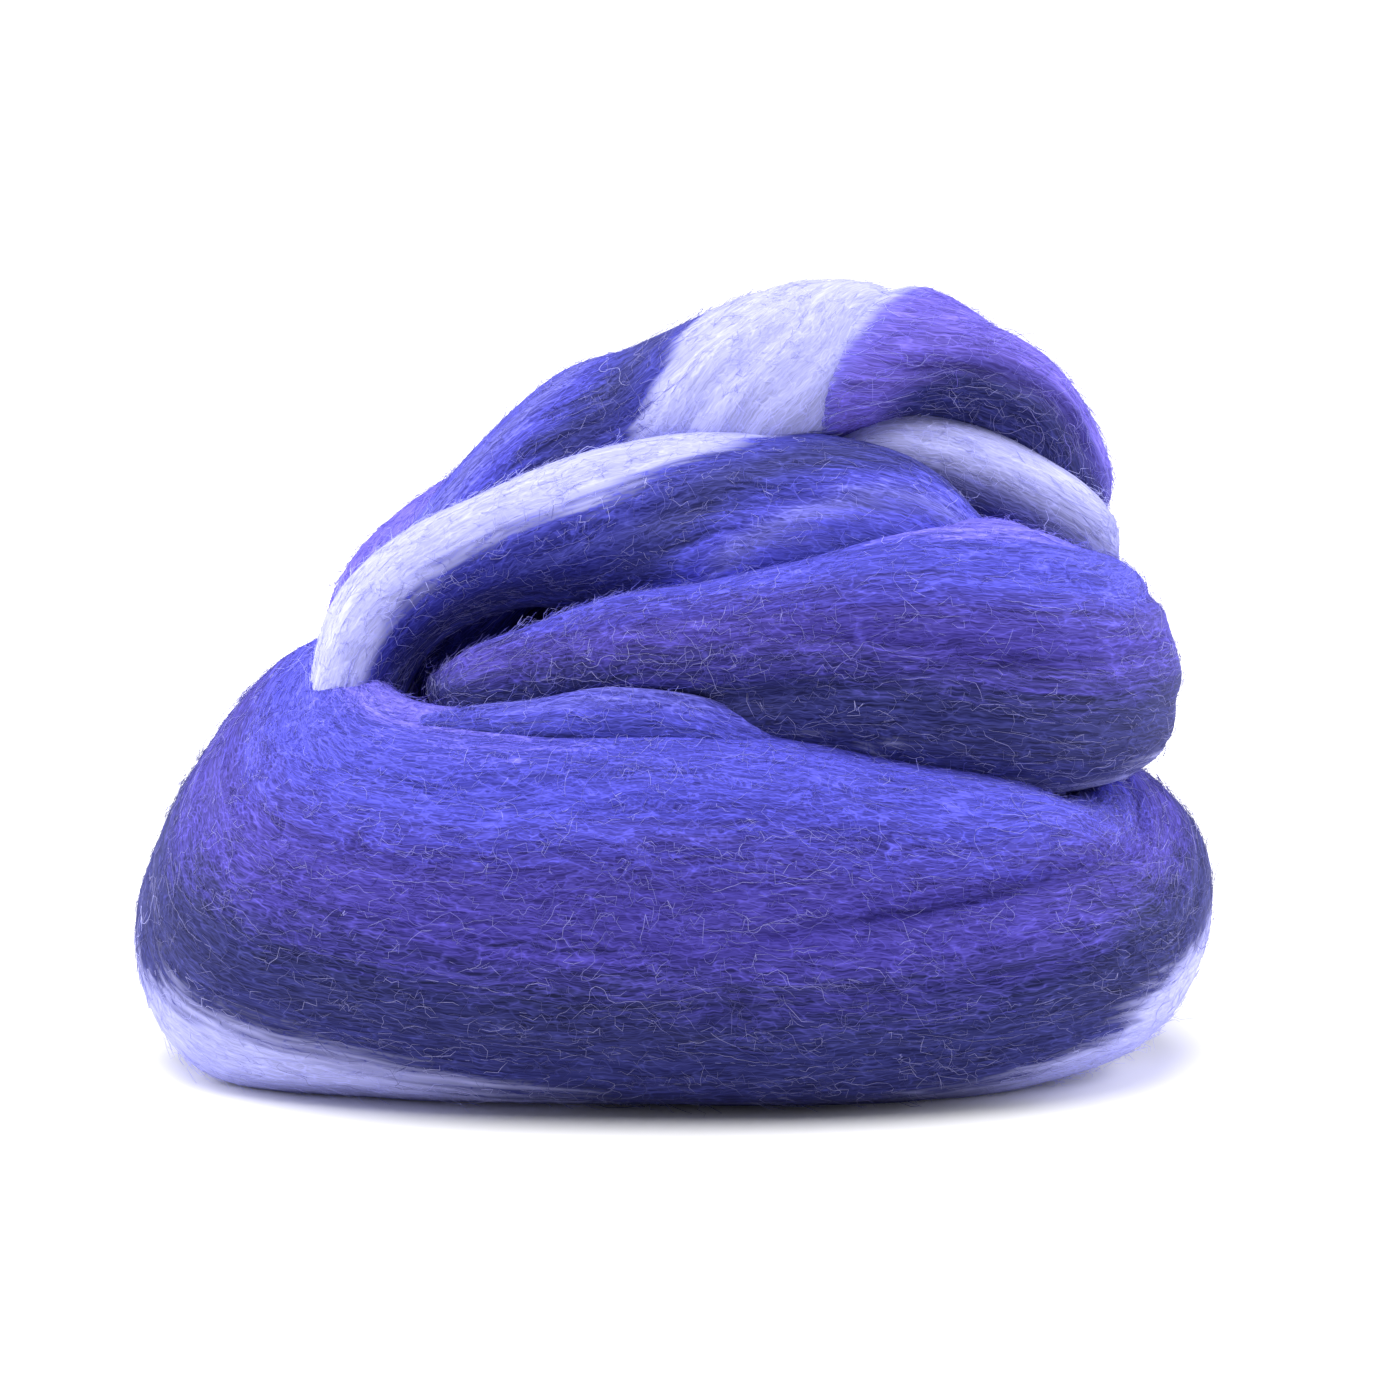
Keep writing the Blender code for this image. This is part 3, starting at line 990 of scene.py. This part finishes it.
def fibre_paths(turn, kind, rng):
    """The paths of one kind of loose fibre on one turn, with the stripe that each one starts in."""
    dense, short, long, lean, wander, rise, crimp, thick, steps, free = KINDS[kind]
    square_centimetres = turn.girth.mean() * (turn.run[-1] - turn.run[0]) / 100
    run, around = open_roots(turn, int(dense * square_centimetres), rng)
    count = len(run)

    def each(low, high):
        return rng.uniform(low, high, (count, 1))

    # The way it heads, which leans from the strand and wanders.
    t = np.linspace(0, 1, steps)[None]
    length = each(short, long)
    turning = each(-1, 1) * np.sin(2 * np.pi * (t * each(*SLOW_WAVES) + each(0, 1)))
    turning = turning + QUICK_SHARE * np.sin(2 * np.pi * (t * each(*QUICK_WAVES) + each(0, 1)))
    heading = np.radians(rng.normal(0, lean, (count, 1)) + wander * turning)

    # Where that leads, with the crimp to the side of it.
    step = length / (steps - 1)
    forward = run[:, None] + np.cumsum(np.cos(heading), axis=1) * step - length / 2
    waves = t * length / each(*CRIMP_LENGTHS) + each(0, 1)
    size = crimp * each(*CRIMP_SHARES)
    sideways = np.cumsum(np.sin(heading), axis=1) * step + size * np.sin(2 * np.pi * waves)

    # Its height: up to a free end, or up and down again in an uneven arc.
    tall = rise * rng.lognormal(*HEIGHT_SPREAD, (count, 1))
    shape = t**1.2 if free else (4 * t * (1 - t)) ** 0.7 * (0.75 + 0.25 * np.sin(9 * t + each(0, 6)))
    height = tall * shape - ROOT_DEPTH + 0.5 * size * np.cos(2 * np.pi * waves)
    girth = np.interp(forward, turn.run, turn.girth)
    paths, _ = on_turn(turn, forward, around[:, None] + sideways / girth, height)

    # The stripe at its root, and its thickness.
    rows, columns = turn.stripe.shape
    i = np.interp(run, turn.run, np.arange(rows)).astype(int)
    stripe = turn.stripe[i, (around * columns).astype(int) % columns]
    radius = thick / 2 * rng.uniform(*THICKNESS_SHARES, count) * MM
    return paths, radius, stripe


print("kinds of loose fibre:", sorted(KINDS))

# %% [markdown]
# ## What the loose fibres are dyed
#
# A loose fibre has the one dye of the stripe that it grew in, and it is painted paler than the mass of
# wool by a random share: partly pale fibres, partly painted light where loose fibres catch the light.
# Its place on the flat map says both: across the map goes the chart of dyes, and up it goes how pale
# the fibre is.

# %% The loose fibres' material and meshes
# Loose fibres are mixed towards this pale lavender: partly pale fibres, partly painted light.
PALE_AND_LIT = (0.58, 0.57, 1.00)
LEAST_PALE_AND_LIT = 0.05
MOST_PALE_AND_LIT = 0.60
# A small lift added to each loose fibre's dye: painted light that makes every loose fibre a little
# lighter.
FIBRE_LIGHT_LIFT = (0.015, 0.015, 0.05)
LOOSE_SEED = 5


def loose_wool(name, chart):
    """Wool fibres that each take one colour from the chart on their map."""
    tree = Tree(name)
    place = tree.node("ShaderNodeUVMap", {"uv_map": BAKE_MAP}, {}).outputs[0]
    stripe, tint, _ = tree.parts(place)
    # The dye gets the painted lift, then is mixed towards the pale lavender by each fibre's random
    # share, partly pale fibres and partly painted light.
    dyed = tree.mix("ADD", 1.0, tree.dye(chart, stripe), FIBRE_LIGHT_LIFT)
    pale_and_lit = tint * tint * (MOST_PALE_AND_LIT - LEAST_PALE_AND_LIT) + LEAST_PALE_AND_LIT
    return tree.finish(
        Base_Color=tree.mix("MIX", pale_and_lit, dyed, PALE_AND_LIT),
        Roughness=0.7,
        Specular_IOR_Level=0.2,
    )


rng = np.random.default_rng(LOOSE_SEED)
loose_finishes = {face: loose_wool("loose_" + face, chart) for face, chart in CHARTS.items()}
fibres = {}
for kind in KINDS:
    for name, turn in turns.items():
        paths, radius, stripe = fibre_paths(turn, kind, rng)
        if len(paths) == 0:
            continue
        shade = np.stack([np.clip(stripe, 0, 1), rng.uniform(0, 1, len(paths))], 1)
        piece = tube_mesh(f"{name}_{kind}", paths, radius, shade)
        piece.data.materials.append(loose_finishes[faces[name]])
        fibres[piece.name] = piece
    made = [piece for key, piece in fibres.items() if key.endswith(kind)]
    counts = [len(piece.data.polygons) for piece in made]
    print(kind, "fibres:", len(made), "pieces,", sum(counts), "triangles, most in one", max(counts))

# %% [markdown]
# ## Floor, light and camera
#
# The heap lies on a plain white surface under soft studio light from above. Two weaker lamps, one at
# each side, keep the ends from going dull. The camera looks at the heap from the front and a little from
# above, through a long lens. The floor is large, so that it fills every view behind the heap.

# %% Floor and backdrop
FLOOR_SIZE = 60.0
bpy.ops.object.select_all(action="DESELECT")
bpy.ops.mesh.primitive_plane_add(size=FLOOR_SIZE, location=(0, 0, 0))
floor = bpy.context.object
floor.name = "floor"
white = Tree("floor_white").finish(
    Base_Color=(0.90, 0.90, 0.905, 1.0),
    Roughness=0.9,
    Specular_IOR_Level=0.0,
)
floor.data.materials.append(white)
print("floor", FLOOR_SIZE, "m wide")

# %% Light
WORLD_STRENGTH = 0.21
KEY_FROM = Vector((-0.10, -0.08, 0.98))
KEY_STRENGTH = 3.65
KEY_SPREAD = math.radians(50)
HEAP_MIDDLE = Vector((0, 0, 0.06))

# Side, power in watts.
SIDE_LAMPS = ((-1, 15.0), (1, 17.0))
SIDE_SIZE = 0.9


def add_lamp(name, kind, energy, place, towards):
    """A lamp at a place, turned towards a direction."""
    lamp = bpy.data.lights.new(name, kind)
    lamp.energy = energy
    holder = bpy.data.objects.new(name, lamp)
    holder.location = place
    holder.rotation_euler = towards.to_track_quat("-Z", "Y").to_euler()
    bpy.context.scene.collection.objects.link(holder)
    return lamp


world = bpy.data.worlds.new("studio")
bpy.context.scene.world = world
world.use_nodes = True
background = world.node_tree.nodes["Background"]
background.inputs["Color"].default_value = (1.0, 1.0, 1.0, 1.0)
background.inputs["Strength"].default_value = WORLD_STRENGTH
key = add_lamp("key", "SUN", KEY_STRENGTH, (0, 0, 0), -KEY_FROM)
key.angle = KEY_SPREAD
for side, power in SIDE_LAMPS:
    place = Vector((side * 1.1, 0.25, 0.5))
    box = add_lamp("side", "AREA", power, place, HEAP_MIDDLE - place)
    box.size = SIDE_SIZE
print("lamps: one key and", len(SIDE_LAMPS), "at the sides")

# %% Camera
CAMERA_AIM = Vector((0.0036, 0.0, 0.0583))
CAMERA_DISTANCE = 0.9
CAMERA_RISE = math.radians(10)
FRAME_WIDTH = 0.2344
SENSOR_WIDTH = 36.0
lens = bpy.data.cameras.new("camera")
lens.sensor_width = SENSOR_WIDTH
lens.lens = lens.sensor_width * CAMERA_DISTANCE / FRAME_WIDTH
camera = bpy.data.objects.new("camera", lens)
back = Vector((0, -math.cos(CAMERA_RISE), math.sin(CAMERA_RISE)))
camera.location = CAMERA_AIM + back * CAMERA_DISTANCE
camera.rotation_euler = (-back).to_track_quat("-Z", "Y").to_euler()
bpy.context.scene.collection.objects.link(camera)
bpy.context.scene.camera = camera
bpy.context.scene.view_settings.view_transform = "Standard"
print("camera at", [round(x, 3) for x in camera.location], "lens", round(lens.lens, 1), "mm")

# %% [markdown]
# ## Hand the pieces to the frame
#
# Every piece rides on the one body and stands in for the imported solid.

# %% Ride and replace
print("pieces:", len(pieces) + len(fibres))
for piece in (*pieces.values(), *fibres.values()):
    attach(piece, "root")
    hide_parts("wool_roving")
